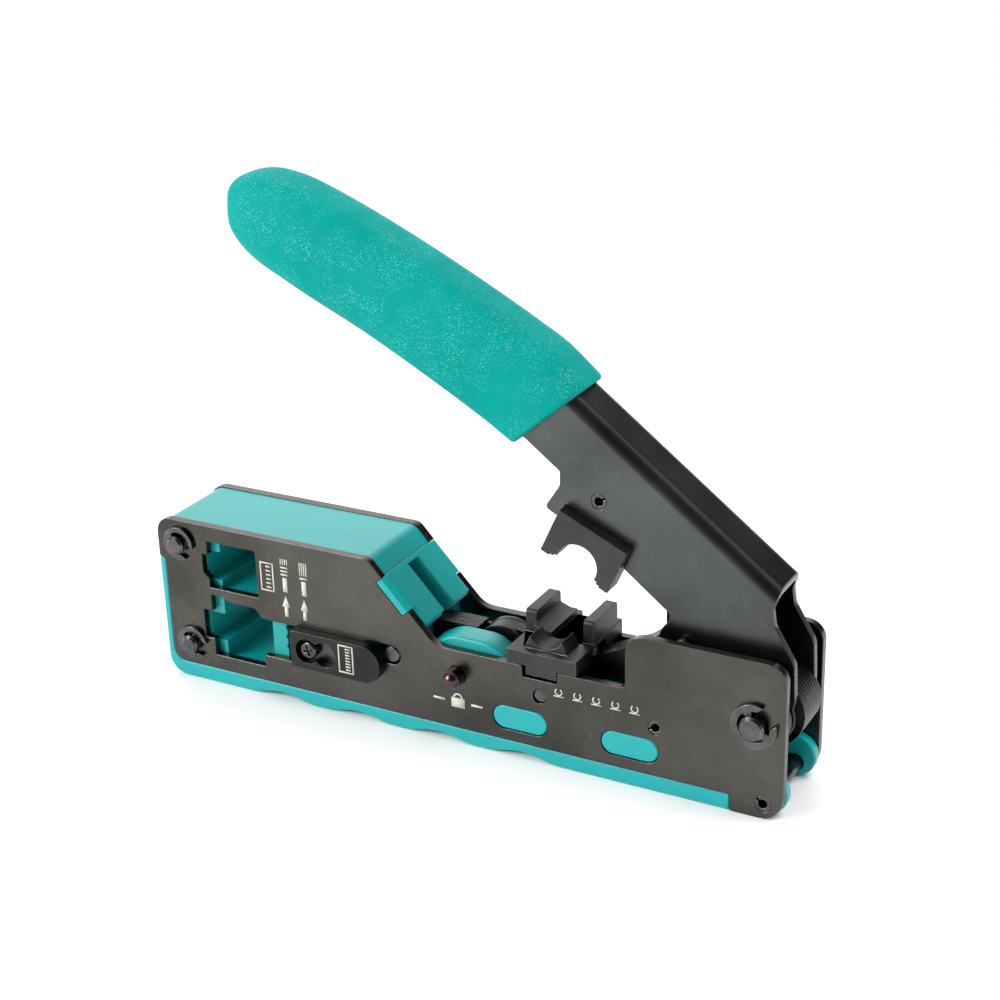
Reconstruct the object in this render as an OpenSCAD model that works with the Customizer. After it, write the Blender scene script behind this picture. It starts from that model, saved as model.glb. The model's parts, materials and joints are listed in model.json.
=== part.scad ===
// Compact crimping tool for modular plugs: a two-plate body, a hinged lever handle,
// a laminated ram driven by a push link, and a clip punch that closes on an anvil.
// The origin is on the flat resting face of the lower grip, midway between the plates.
// +X runs from the head towards the pivot end, -Y is the side with the slider, +Z is up.
// Modules are drawn about the handle pivot and moved to the origin at the end of the file.
// Places in the side view are [x, z] pairs. The handle is drawn open.

/* [Body] */
// Thickness over the two plates
body_w = 21; // [20.8:0.1:22]
// Thickness of each plate
plate_t = 1.6; // [1.4:0.1:1.7]
// Distance from the pivot to the head end
head_reach = 133.9; // [133.6:0.1:135]
// Height of the head above the pivot
head_top = 17.3; // [17.2:0.1:17.5]
// Height of the waist between head and tab
waist_top = 1.4; // [1.2:0.1:1.4]
// Height of the tab that carries the handle
tab_top = 12.9; // [12:0.1:13.5]
// Depth of the resting face below the pivot
foot_depth = 19.4; // [19.2:0.1:20]

/* [Grip] */
// Height of the soft strip that shows under the plates
strip_h = 3.5; // [3.2:0.1:4]
// Number of finger grooves
groove_count = 4; // [3:1:4]
// Distance between finger grooves
groove_pitch = 18.9; // [17:0.1:20]
// Depth of each finger groove
groove_depth = 1.3; // [0.6:0.1:1.6]

/* [Handle] */
// Angle the handle turns from open to closed
swing = 25; // [22:0.5:25]
// Width over the handle channel
channel_w = 12; // [11.6:0.1:12.2]
// Thickness of the channel sheet
sheet_t = 1.5; // [1.2:0.1:1.6]
// Outer bend radius of the channel
bend_r = 3; // [2.5:0.1:3.2]
// Depth of the channel under the grip
channel_d = 13.75; // [13.4:0.05:14]
// Height of the grip section
grip_h = 18.9; // [18.4:0.1:19.4]
// Width of the grip section
grip_w = 15.8; // [15.4:0.1:16.4]

/* [Mechanism] */
// Radius of the pivot pin
pivot_r = 2.5; // [2.3:0.1:2.6]
// Radius of the link pin, ram pin and head pins
pin_r = 2; // [1.9:0.05:2]
// Thickness of one sheet of the laminated parts
leaf_t = 0.92; // [0.85:0.01:0.94]
// Travel of the lock pin
lock_travel = 3; // [2:0.1:3]
// Distance between the two positions of the slider
slider_travel = 4.2; // [4:0.1:4.2]

/* [Ports] */
// Number of contacts of the large die
big_count = 8; // [6:2:8]
// Number of contacts of the small die
small_count = 6; // [4:2:6]
// Pitch of the contacts
contact_pitch = 1.02; // [1:0.01:1.05]

/* [Hidden] */
$fn = 48;
arc_steps = 6;
slack = 0.05;
eps = 0.02;

half_w = body_w / 2;
inner = half_w - plate_t;
core = inner - 0.1;

// Place of the origin seen from the pivot: the middle of the flat land
foot_at = [-22, -foot_depth];

// Places of the holes and pins in the side view
pivot = [0, 0];
head_pin_a = [-128.3, 12.2];
head_pin_b = [-127, -10.6];
dowel_at = [-44.2, -4.6];
dowel_r = 1.4;
stop_at = [-19.8, -5.5];
stop_r = 1.5;
corner_at = [1.9, -16.3];
corner_r = 1.6;
lock_at = [-62.4, -4];
lock_r = 1.9;
guide_at = [-77.4, -2.9];
guide_r = 1.8;
guide_slot_r = 2.1;
slider_z = -5.45;
screw_at = [-96.6, slider_z];
boss_x = [-48.6, -25.1];
boss_z = -10.9;
boss_l = 12.2;
boss_h = 5.3;

// Linkage: the link pin turns with the handle, the ram pin slides along X
link_at = [-15.7, 10.4];
ram_at = [-56.4, -1.6];
elbow_at = [-38, -1.4];
shoulder_at = [-24.5, 5.2];
link_len = norm(link_at - ram_at);
function turned(p, a) = [p[0] * cos(a) - p[1] * sin(a), p[0] * sin(a) + p[1] * cos(a)];
function link_rise(a) = turned(link_at, a)[1] - ram_at[1];
function ram_x(a) = turned(link_at, a)[0] - sqrt(link_len * link_len - link_rise(a) * link_rise(a));
stroke = ram_at[0] - ram_x(swing);
link_turn = asin(link_rise(swing) / link_len) - asin(link_rise(0) / link_len);
// The ram and the link follow the handle at a steady rate, so the link pin wanders
// a little in its hole: the hole is centred between the two ends of that wander.
mid_pin = turned(turned(link_at, swing / 2) - ram_at + [stroke / 2, 0], -link_turn / 2);
hole_at = (mid_pin + ram_at + link_at) / 2;
link_play = 0.4;

// Slope of the head and the plates' notches for the lip of the port block
slope_top = [-82.1, head_top];
slope_end = [-67.2, waist_top];
slope_a = atan2(slope_end[1] - slope_top[1], slope_end[0] - slope_top[0]);
slope_len = norm(slope_end - slope_top);
wing_s = [4.7, 13.3];
wing_depth = 1.9;

// Anvil and punch, with the punch seen in its closed place
anvil_x = [-51.2, -36.2];
anvil_top = 4.5;
die_x = -43.55;
punch_half = 7.6;
punch_z = [4.75, 14.5];
punch_y = [-8.7, -4.1];
punch_pin_at = turned([-33.4, 36.5], swing);
notch_x = [-47.9, -40.3];
notch_z = -1;

// Handle spine: a straight web, then two bends that flatten it towards the tip
web_a = 52.6;
web_d = 21.35;
web_start = [-42.3, 59];
bend_1_r = 100;
bend_1_a = 8.6;
bend_2_r = 330;
bend_2_a = 8.4;
up = [cos(web_a), sin(web_a)];
bend_1_at = web_start - bend_1_r * up;
web_a2 = web_a + bend_1_a;
up_2 = [cos(web_a2), sin(web_a2)];
bend_2_at = bend_1_at + (bend_1_r - bend_2_r) * up_2;
grip_rise = 1.9;
grip_r = 5;
grip_tip_a = 1.2;

// Ports and the die cavity
port_x = [-122.3, -107.4];
big_z = [-13.4, 0.4];
small_z = [2.6, 12.9];
rib_x = -119.4;
cavity_x = [-106.6, -94.6];
cavity_z = [-13.4, 13.2];
cavity_y = 6.15;
die_face_x = -102;
die_back_x = -98.6;
bar_back_x = -95;
tooth_l = 3.6;
tooth_t = 0.5;
big_mid = -5.55;
small_mid = 8.4;

module at_home() {
    translate([-foot_at[0], 0, -foot_at[1]]) children();
}

// Round the corners of an outline of [x, z, radius] points
function flat(p) = [p[0], p[1]];
function unit(v) = v / norm(v);
function fillet(p, u, v, r) =
    let (
        h = acos(u * v) / 2,
        m = p + unit(u + v) * r / sin(h),
        s = p + u * r / tan(h) - m,
        e = p + v * r / tan(h) - m,
        a = atan2(s[1], s[0]),
        d = (atan2(e[1], e[0]) - a + 540) % 360 - 180
    )
    [for (i = [0:arc_steps]) m + r * [cos(a + d * i / arc_steps), sin(a + d * i / arc_steps)]];
function corner(a, b, c) =
    b[2] == 0 ? [flat(b)] : fillet(flat(b), unit(flat(a) - flat(b)), unit(flat(c) - flat(b)), b[2]);
function outline(pts) =
    let (n = len(pts))
    [for (i = [0:n - 1]) each corner(pts[(i + n - 1) % n], pts[i], pts[(i + 1) % n])];

// A side-view shape given depth from y0 to y1
module slab(y0, y1) {
    translate([0, y1, 0]) rotate([90, 0, 0]) linear_extrude(y1 - y0) children();
}

module rod(p, r, y0, y1) {
    translate([p[0], y1, p[1]]) rotate([90, 0, 0]) cylinder(r = r, h = y1 - y0);
}

// A pin with a small chamfer on each end
module dressed_rod(p, r, y0, y1, c = 0.4) {
    translate([p[0], y1, p[1]]) rotate([90, 0, 0]) rotate_extrude()
        polygon([[0, 0], [r - c, 0], [r, c], [r, y1 - y0 - c], [r - c, y1 - y0], [0, y1 - y0]]);
}

module both_sides() {
    children();
    mirror([0, 1, 0]) children();
}

module box(x, y, z) {
    translate([x[0], y[0], z[0]]) cube([x[1] - x[0], y[1] - y[0], z[1] - z[0]]);
}

module rect(x, z) {
    translate([x[0], z[0]]) square([x[1] - x[0], z[1] - z[0]]);
}

module disc(p, r) {
    translate(p) circle(r = r);
}

// Two discs joined by sides a hair inside their outer tangents
module strap(p, r, q, s) {
    hair = 0.01;
    f = atan2(q[1] - p[1], q[0] - p[0]);
    h = acos((r - s) / norm(q - p));
    disc(p, r);
    disc(q, s);
    polygon([for (a = [f + h, f - h]) p + (r - hair) * [cos(a), sin(a)],
        for (a = [f - h, f + h]) q + (s - hair) * [cos(a), sin(a)]]);
}

// A stack of loose sheets that leaves out the sheets not in the list
module leaves(count, span, keep) {
    pitch = span / count;
    for (i = keep)
        slab(-span / 2 + i * pitch, -span / 2 + i * pitch + leaf_t) children();
}

// Outline of a plate, clockwise from the top of the head
module plate_outline() {
    low_x = -head_reach + 1.4;
    strip_z = -foot_depth + strip_h;
    tail_x = 5.9;
    step_x = -4.6;
    tab_x = -26;
    polygon(outline([
        [-head_reach, head_top, 3.5], [slope_top[0], slope_top[1], 2.5],
        [slope_end[0], slope_end[1], 5], [notch_x[0], waist_top, 0.4], [notch_x[0], notch_z, 0.3],
        [notch_x[1], notch_z, 0.3], [notch_x[1], waist_top, 0.4], [tab_x, waist_top, 1.2],
        [tab_x, tab_top, 4], [tail_x, tab_top, 3.6], [tail_x, -foot_depth, 5],
        [step_x, -foot_depth, 0.6], [step_x, strip_z, 0], [low_x, strip_z, 2.7],
        [low_x, 8.2, 0], [-head_reach, 8.2, 0.3]]));
}

module along_slope() {
    translate(slope_top) rotate(slope_a) children();
}

module wing_notch() {
    along_slope() rect(wing_s, [-wing_depth, 2]);
}

module small_window() {
    polygon([[-121.5, 13.8], [-109.2, 13.8], [-109.2, 3.2], [-121.5, 3.2], [-121.5, 5.2],
        [-122.9, 6.7], [-122.9, 10.7], [-121.5, 10.7]]);
}

module big_window() {
    polygon(outline([[-121.5, 1.5, 0], [-118.7, 1.5, 0], [-116.8, 0.6, 0], [-110.4, 0.6, 0.8],
        [-108.6, -1.4, 1], [-98.9, -1.4, 0], [-98.9, -9.9, 0], [-108.7, -9.9, 0],
        [-108.7, -12.6, 0.3], [-121.5, -12.6, 0.3], [-121.5, -8.8, 0], [-123.7, -8.8, 0],
        [-123.7, -2.3, 0], [-121.5, -2.3, 0]]));
}

module obround(p, l, h) {
    strap(p - [(l - h) / 2, 0], h / 2, p + [(l - h) / 2, 0], h / 2);
}

// Shape shared by the two plates
module plate_profile() {
    difference() {
        plate_outline();
        wing_notch();
        disc(head_pin_a, pin_r + slack);
        disc(head_pin_b, pin_r + slack);
        disc(pivot, pivot_r + slack);
        disc(dowel_at, dowel_r + slack);
        disc(stop_at, stop_r + slack);
        disc(corner_at, corner_r + slack);
        obround(guide_at - [(stroke + 0.6) / 2, 0], 2 * guide_slot_r + stroke + 0.6, 2 * guide_slot_r);
        for (x = boss_x) obround([x, boss_z], boss_l, boss_h);
    }
}

module front_plate() {
    color("dimgray") slab(-half_w, -inner) difference() {
        plate_profile();
        small_window();
        big_window();
        disc(lock_at, lock_r + slack);
        disc(screw_at, 1.05);
    }
}

// The rear plate has plain slots where the trimmed wires come out
module rear_plate() {
    color("dimgray") slab(inner, half_w) difference() {
        plate_profile();
        rect([-119.4, -109.2], [4.4, 12.4]);
        rect([-119.4, -109.2], [-11.2, -0.4]);
    }
}

// Side view of the port block without its hollows
module block_outline() {
    end_s = slope_len - 3.8;
    lip = -0.3;
    along = [cos(slope_a), sin(slope_a)];
    across = [-sin(slope_a), cos(slope_a)];
    a = slope_top + lip * across;
    b = a + end_s * along;
    c = b - 3 * across;
    left_x = -head_reach + 0.6;
    polygon(outline([[left_x, head_top + lip, 3], [a[0], a[1], 2.5], [b[0], b[1], 0.5],
        [c[0], c[1], 0.5], [c[0], -8.6, 0], [cavity_x[1] + 1.4, -8.6, 0],
        [cavity_x[1] + 1.4, -14.8, 0], [left_x + 1, -14.8, 1.5], [left_x + 1, 8.3, 0],
        [left_x, 8.3, 0]]));
}

// Lip across the slope: raised, and as wide as both plates where it passes their notches
module lip() {
    s = [wing_s[0] + 0.1, wing_s[1] - 0.1];
    end_s = slope_len - 4.3;
    top = 0.6;
    cut = 0.9;
    foot = -wing_depth + 0.1;
    reach = half_w - eps;
    translate([slope_top[0], 0, slope_top[1]]) rotate([0, -slope_a, 0]) {
        translate([s[0], 0, 0]) rotate([90, 0, 90]) linear_extrude(s[1] - s[0])
            polygon([[-reach, foot], [reach, foot], [reach, top - cut], [reach - cut, top],
                [-reach + cut, top], [-reach, top - cut]]);
        translate([s[1] - 1, 0, 0]) rotate([90, 0, 90]) linear_extrude(end_s - s[1] + 1)
            polygon([[-core, foot - 1], [core, foot - 1], [core, top - cut / 2], [core - cut, top],
                [-core + cut, top], [-core, top - cut / 2]]);
    }
}

module port_hollow(z, latch_z, latch_x) {
    box([rib_x, port_x[1]], [-half_w, half_w], z);
    box([latch_x, rib_x + eps], [-half_w, half_w], latch_z);
}

module comb(mid, count, x, y, t) {
    for (i = [0:count - 1])
        translate([0, 0, mid + (i - (count - 1) / 2) * contact_pitch])
            box(x, y, [-t / 2, t / 2]);
}

module port_block() {
    slot_y = [-1.9, 1];
    flare = 2.2;
    color("lightseagreen") difference() {
        union() {
            slab(-core, core) block_outline();
            lip();
        }
        port_hollow(big_z, [-9.6, -3.4], -123);
        port_hollow(small_z, [4.5, 10.9], -122.8);
        // Die cavity, blade pocket behind it and the window's run under the slider
        box(cavity_x, [-cavity_y, core + 1], cavity_z);
        box([-112, cavity_x[0] + eps], [6.3, core + 1], cavity_z);
        box([-103.7, -98.8], [-half_w, -cavity_y + eps], [-10.2, -1.2]);
        for (z = [-3.2, -5.4, -7.6])
            box([-104, -103.6], [-half_w, -cavity_y], [z - 0.4, z + 0.4]);
        // Slots that let the die teeth into the ports
        comb(big_mid, big_count, [port_x[1] - 0.5, cavity_x[0] + 0.5], [-1.6, 1.6], 0.7);
        comb(small_mid, small_count, [port_x[1] - 0.5, cavity_x[0] + 0.5], [-1.6, 1.6], 0.7);
        // Ram channel and the room beside the guide pin
        box([cavity_x[1] - eps, -60], [-2.6, 2.6], [-14, 3.15]);
        slab(-core - 1, core + 1)
            obround(guide_at - [stroke / 2 + 0.3, 0], 2 * guide_slot_r + stroke + 0.6, 2 * guide_slot_r);
        // Stripping slot down the slope, flared on its rear side
        translate([slope_top[0], 0, slope_top[1]]) rotate([0, -slope_a, 0])
            translate([5.6, 0, 0]) rotate([90, 0, 90]) linear_extrude(slope_len)
                polygon([[slot_y[0], -7], [slot_y[1], -7], [slot_y[1], -flare],
                    [slot_y[1] + flare / 2, 0.6], [slot_y[1] + flare / 2, 2], [slot_y[0], 2]]);
        slab(-core - 1, core + 1) disc(head_pin_a, pin_r + slack);
        slab(-core - 1, core + 1) disc(head_pin_b, pin_r + slack);
        rod(screw_at, 1.05, -core - 1, -6.4);
    }
}

// Height of the grip's underside, with a raised-cosine groove for each finger
function groove_x(i) = -105 + i * groove_pitch;
function bump(t) = abs(t) < 1 ? (1 + cos(180 * t)) / 2 : 0;
groove_half = 8.6;
groove_points = 12;

module grip_outline(left_x, right_x, right_top, left_top) {
    polygon([
        [right_x, right_top], [right_x, -foot_depth],
        for (i = [groove_count - 1:-1:0], k = [groove_points:-1:-groove_points])
            let (t = k / groove_points)
            [groove_x(i) + groove_half * t, -foot_depth + groove_depth * bump(t)],
        each fillet([left_x, -foot_depth], [1, 0], [0, 1], 4.2),
        [left_x, left_top]]);
}

module lower_grip() {
    plate_x = -head_reach + 1.4 - slack;
    floor_z = -15;
    left_x = -head_reach - 0.2;
    wall = [6.5, core];
    wall_z = -8.7;
    tail = [1.7, -14.9];
    tail_r = 4.4;
    color("lightseagreen") {
        difference() {
            union() {
                // The strip that runs under the plates and up the head's end
                slab(-half_w + eps, half_w - eps) difference() {
                    grip_outline(left_x, -4.65, -foot_depth + strip_h - slack, 8.1);
                    polygon(outline([[plate_x, 30, 0], [10, 30, 0],
                        [10, -foot_depth + strip_h - slack, 0],
                        [plate_x, -foot_depth + strip_h - slack, 2.7]]));
                }
                slab(-core, core) intersection() {
                    grip_outline(left_x + 1, -4.65, floor_z, 0);
                    rect([plate_x + 0.1, 0], [-30, floor_z]);
                }
                // Side walls, the lugs that hold the dowels, and the ears of the tail
                both_sides() slab(wall[0], wall[1]) {
                    rect([cavity_x[1] + 1.6, -4.65], [floor_z - 1, wall_z]);
                    rect([dowel_at[0] - 3.4, dowel_at[0] + 3.4], [wall_z - 1, dowel_at[1] + 2.4]);
                    strap([-12, -12.5], 3, tail, tail_r);
                }
                both_sides() slab(wall[1] - 1, half_w - eps)
                    for (x = boss_x) obround([x, boss_z], boss_l - 0.2, boss_h - 0.2);
            }
            rod(dowel_at, dowel_r + slack, -half_w, half_w);
            rod(corner_at, corner_r + slack, -half_w, half_w);
        }
    }
}

// Rounded housing beside the ram; it guides the lock pin
module lock_housing() {
    collar_r = 3.2;
    color("lightseagreen") difference() {
        slab(-core, -3.2) polygon(outline([[-70.6, -8, 1], [-70.2, 0.4, 4.5], [-64.6, 3.5, 6],
            [-56, 3.5, 6], [-51.9, 0.9, 2.5], [-51.9, -8, 1]]));
        rod(lock_at, lock_r + slack, -core - 1, -3);
        rod(lock_at, collar_r, -core + 0.6, -3.9);
    }
}

// Plain spacer on the rear side of the ram
module rear_spacer() {
    color("lightseagreen") slab(3.2, core)
        polygon(outline([[-70.4, -8, 1], [-70.4, -2.4, 1.5], [-51.9, -2.4, 1.5], [-51.9, -8, 1]]));
}

// Pin with a groove for a clip near each end
module grooved_pin(p, r, reach, clip_t) {
    color("gray") difference() {
        dressed_rod(p, r, -reach, reach, 0.5);
        both_sides() difference() {
            rod(p, r + 1, half_w + slack, half_w + slack + clip_t + 0.1);
            rod(p, r * 0.76, half_w - 1, half_w + 3);
        }
    }
}

// Retaining clip with three inner prongs and a mouth that faces angle a
module clip(p, r, outer_r, t, a) {
    both_sides() slab(half_w + slack + 0.02, half_w + slack + t) translate(p) rotate(a)
        difference() {
            circle(r = outer_r);
            difference() {
                circle(r = outer_r * 0.7);
                for (b = [0, 105, -105]) rotate(180 + b) rect([0, outer_r], [-r * 0.3, r * 0.3]);
            }
            circle(r = r * 0.76 + 0.02);
            rect([0, 2 * outer_r], [-r * 0.78, r * 0.78]);
        }
}

module head_pins() {
    grooved_pin(head_pin_a, pin_r, half_w + 2.2, 0.8);
    grooved_pin(head_pin_b, pin_r, half_w + 2.2, 0.8);
}

module head_clips() {
    color("dimgray") {
        clip(head_pin_a, pin_r, 3.65, 0.8, -35);
        clip(head_pin_b, pin_r, 3.65, 0.8, -20);
    }
}

module pivot_pin() {
    grooved_pin(pivot, pivot_r, half_w + 2.4, 0.9);
}

module pivot_clips() {
    color("dimgray") clip(pivot, pivot_r, 4.5, 0.9, 40);
}

module pivot_spacers() {
    color("gray") both_sides() slab(channel_w / 2 + slack, core + slack) difference() {
        disc(pivot, 4.2);
        disc(pivot, pivot_r + slack);
    }
}

module anvil_dowels() {
    color("gray") both_sides() dressed_rod(dowel_at, dowel_r, 5, half_w - 0.4, 0.2);
}

// Slotted spring pin
module roll_pin(p, r, y, slot_a) {
    color("gray") slab(-y, y) difference() {
        disc(p, r);
        disc(p, r * 0.58);
        translate(p) rotate(slot_a) rect([0, 2 * r], [-0.2, 0.2]);
    }
}

module stop_pin() {
    roll_pin(stop_at, stop_r, half_w - 0.1, 200);
}

module corner_pin() {
    roll_pin(corner_at, corner_r, half_w - 0.1, 140);
}

module fin(x, y, z) {
    c = 0.5;
    translate([x[0], 0, 0]) rotate([90, 0, 90]) linear_extrude(x[1] - x[0])
        polygon([[y[0], anvil_top - 1], [y[1], anvil_top - 1], [y[1], z - c], [y[1] - c, z],
            [y[0] + c, z], [y[0], z - c]]);
}

// Anvil: a base on the waist, a grooved saddle, a ledge and two fins
module clip_anvil() {
    base_z = [waist_top + 0.1, anvil_top];
    saddle_top = 7.2;
    groove_r = 3.73;
    fin_z = 9.3;
    color("darkslategray") difference() {
        union() {
            box(anvil_x, [-half_w, half_w], base_z);
            box([notch_x[0] + 0.8, notch_x[1] - 0.2], [-half_w, -inner + 0.9], [notch_z + 0.6, 2]);
            slab(-8.7, -3.5) difference() {
                polygon([[die_x - 4.75, anvil_top - 0.5], [die_x + 4.75, anvil_top - 0.5],
                    [die_x + 4.65, anvil_top], [die_x + 3.4, saddle_top],
                    [die_x - 3.4, saddle_top], [die_x - 4.65, anvil_top]]);
                disc([die_x, saddle_top + 1.53], groove_r);
            }
            slab(-3.5, 8.2) polygon([[-48.8, anvil_top - 0.5], [-44.9, anvil_top - 0.5],
                [-44.9, 6], [-46.4, 6], [-48.8, 6.9]]);
            fin([anvil_x[0] + 0.1, -48.7], [-2.3, 8.4], fin_z);
            fin([-38.6, anvil_x[1] - 0.05], [-2.3, 8.4], fin_z);
        }
        box([-44.9, -41], [-3.4, half_w + 1], [0, anvil_top + 0.01]);
        box([anvil_x[0] - 1, anvil_x[1] + 1], [-2.8, 2.8], [0, 3.7]);
    }
}

// Spring shape: two coils round the pivot spacer, one leg on the stop pin,
// one leg where the link pin is when the handle is closed
module return_spring() {
    wire = 1.2;
    coil_r = 5.2;
    coil_y = [-8.1, -6.85];
    stop_leg = stop_at + [0, stop_r + wire / 2 + slack];
    closed_pin = turned(link_at, swing);
    pin_leg = closed_pin - [0, pin_r + wire / 2 + 0.3];
    color("silver") {
        slab(coil_y[0] - wire / 2, coil_y[1] + wire / 2) difference() {
            disc(pivot, coil_r + wire / 2);
            disc(pivot, coil_r - wire / 2);
        }
        spring_leg(stop_leg, -1, coil_r, wire, coil_y[0]);
        spring_leg(pin_leg, 1, coil_r, wire, coil_y[1]);
    }
}

// A straight leg from the coil's tangent through point p and a little beyond
module spring_leg(p, side, coil_r, wire, y) {
    beyond = 2.5;
    run = sqrt(p * p - coil_r * coil_r);
    a = atan2(-p[1], -p[0]) + side * asin(coil_r / norm(p));
    slab(y - wire / 2, y + wire / 2) translate(p) rotate(a)
        rect([-beyond, run], [-wire / 2, wire / 2]);
}

// Blade in the stripping slot, lying along the slope
module strip_blade() {
    color("lightgray") slab(-0.9, -0.4) along_slope() difference() {
        rect([6.5, 14.5], [-4.3, -1.6]);
        polygon([[9.6, -1.5], [11.4, -1.5], [10.5, -2.9]]);
    }
}

module slider_screw() {
    color("gray") difference() {
        union() {
            dressed_rod(screw_at, 1.9, -half_w - 1.7, -half_w - slack, 0.3);
            rod(screw_at, 1, -half_w - 0.5, -6.6);
        }
        for (a = [20, 110])
            slab(-half_w - 2, -half_w - 0.9) translate(screw_at) rotate(a) square([2.4, 0.5], center = true);
    }
}

// Slider on the front plate with two joined detent holes
module slider_plate() {
    x = [-100.6, -79.2];
    z = [slider_z - 4.15, slider_z + 4.15];
    next_at = screw_at + [slider_travel, 0];
    hole_r = 2.7;
    neck = 2;
    color("dimgray") slab(-half_w - 2.1, -half_w - slack) difference() {
        polygon(outline([[x[0], z[0], 0.6], [x[0], z[1], 0.6], [x[1], z[1], 4], [x[1], z[0], 4]]));
        disc(screw_at, hole_r);
        disc(next_at, hole_r);
        rect([screw_at[0], next_at[0]], [slider_z - neck, slider_z + neck]);
    }
}

module lock_pin() {
    nose = -half_w - 3.8;
    tip = -6;
    color("gray") {
        translate([lock_at[0], 0, lock_at[1]]) rotate([90, 0, 0]) rotate_extrude() intersection() {
            union() {
                translate([0, -tip]) square([lock_r, -nose + tip - 1.2]);
                translate([0, -nose - 1.8]) circle(r = 1.9);
            }
            translate([0, -tip]) square([lock_r, 20]);
        }
        rod(lock_at, 3, -core + 0.7, -core + 1.4);
    }
}

// Ram side view: a cross bar that backs the dies, a body, and a round eye on outer sheets
module ram_body() {
    difference() {
        union() {
            rect([die_back_x, bar_back_x], [cavity_z[0] + 0.3, cavity_z[1] - 0.3]);
            rect([bar_back_x - 0.1, -62], [-7.3, 2.95]);
        }
        disc(guide_at, guide_r);
    }
}

module ram_plates() {
    eye_r = 6;
    color("slategray") {
        leaves(5, 4.9, [1, 2, 3]) difference() {
            ram_body();
            disc(ram_at, eye_r + 0.35);
        }
        leaves(5, 4.9, [0, 4]) difference() {
            union() {
                ram_body();
                disc(ram_at, eye_r);
                rect([-64, ram_at[0]], [-7.3, 2.2]);
            }
            disc(ram_at, pin_r + slack);
        }
    }
}

module ram_pin() {
    color("gray") dressed_rod(ram_at, pin_r, -2.9, 2.9, 0.3);
}

module ram_guide_pin() {
    color("gray") dressed_rod(guide_at, guide_r, -half_w + 0.1, half_w - 0.1, 0.3);
}

// Die: a block with one thin tooth for each contact
module die(mid, count, half_h) {
    color("darkgray") difference() {
        union() {
            box([die_face_x, die_back_x - 0.02], [-cavity_y + 0.15, 6.4], [mid - half_h, mid + half_h]);
            comb(mid, count, [die_face_x - tooth_l, die_face_x + 0.2], [-1.2, 1.2], tooth_t);
        }
        rod([die_face_x + 1.7, mid], 0.85, 3, 7);
    }
}

module big_die() {
    die(big_mid, big_count, 6.6);
}

module small_die() {
    die(small_mid, small_count, 4.5);
}

// Wire trimming blade behind the dies, ground to an edge on its port side
module trim_blade() {
    y = [6.42, 7.4];
    color("lightgray") difference() {
        translate([0, 0, -12.8]) linear_extrude(25.6)
            polygon([[-105.4, y[0]], [-103.4, y[1]], [-97.5, y[1]], [-97.5, y[0]]]);
        for (z = [big_mid, small_mid]) rod([die_face_x + 1.7, z], 0.9, y[0] - 1, y[1] + 1);
    }
}

module blade_screws() {
    color("gray") for (z = [big_mid, small_mid]) difference() {
        union() {
            dressed_rod([die_face_x + 1.7, z], 1.6, 7.42, 8.4, 0.25);
            rod([die_face_x + 1.7, z], 0.8, 3.4, 7.6);
        }
        box([die_face_x - 0.5, die_face_x + 3.9], [7.9, 9], [z - 0.2, z + 0.2]);
    }
}

// Cranked link: inner sheets reach the ram pin, outer sheets stop at the crank
module link_arm() {
    strap(elbow_at, 2.7, shoulder_at, 2.5);
    strap(shoulder_at, 2.5, link_at, 3.9);
}

module push_link() {
    color("slategray") difference() {
        union() {
            leaves(5, 4.9, [1, 2, 3]) {
                strap(ram_at, 5.9, elbow_at, 2.7);
                link_arm();
            }
            leaves(5, 4.9, [0, 4]) link_arm();
        }
        rod(ram_at, pin_r + slack, -5, 5);
        rod(hole_at, pin_r + link_play, -5, 5);
    }
}

// Lever sheets between the handle's flanges; the middle ones leave room for the link
module lever_plates() {
    span = channel_w - 2 * sheet_t - 0.1;
    color("slategray") {
        leaves(9, span, [0, 1, 7, 8]) difference() {
            strap(pivot, 7.4, link_at, 5.4);
            disc(pivot, pivot_r + slack);
            disc(link_at, pin_r + slack);
        }
        leaves(9, span, [2, 3, 4, 5, 6]) difference() {
            disc(pivot, 7.4);
            disc(pivot, pivot_r + slack);
        }
    }
}

module link_pin() {
    color("gray") dressed_rod(link_at, pin_r, -channel_w / 2 - 1.6, channel_w / 2 + 1.6, 0.3);
}

// A section drawn with x = 0 on the web's outer face, carried along the handle's spine
module spine_straight(l) {
    translate([web_start[0], 0, web_start[1]]) rotate([90, 0, 0]) rotate([0, 0, web_a])
        rotate([90, 0, 0]) linear_extrude(l) children();
}

module spine_bend(at, r, a, turn) {
    translate([at[0], 0, at[1]]) rotate([90, 0, 0]) rotate([0, 0, a])
        rotate_extrude(angle = turn, $fn = 180) translate([r, 0]) children();
}

module spine_curve(l) {
    spine_straight(l) children();
    spine_bend(bend_1_at, bend_1_r, web_a, bend_1_a) children();
    spine_bend(bend_2_at, bend_2_r, web_a2, bend_2_a) children();
}

module shell_section(w, r, d) {
    rect([-d, -r], [-w / 2, w / 2]);
    rect([-r - eps, 0], [-w / 2 + r, w / 2 - r]);
    for (s = [-1, 1]) disc([-r, s * (w / 2 - r)], r);
}

module channel_section(d) {
    difference() {
        shell_section(channel_w, bend_r, d);
        translate([-sheet_t, 0]) shell_section(channel_w - 2 * sheet_t, bend_r - sheet_t, d);
    }
}

// Section of the tongue inside the grip: smaller by a hair, with cut corners
module tongue_section(hair) {
    w = channel_w / 2 - hair;
    c = bend_r * 0.6;
    low = -channel_d + hair;
    top = -sheet_t - hair;
    polygon([[-hair, -w + c], [-hair, w - c], [-hair - c, w], [low, w], [low, w - sheet_t],
        [top, w - sheet_t], [top, -w + sheet_t], [low, -w + sheet_t], [low, -w], [-hair - c, -w]]);
}

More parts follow.
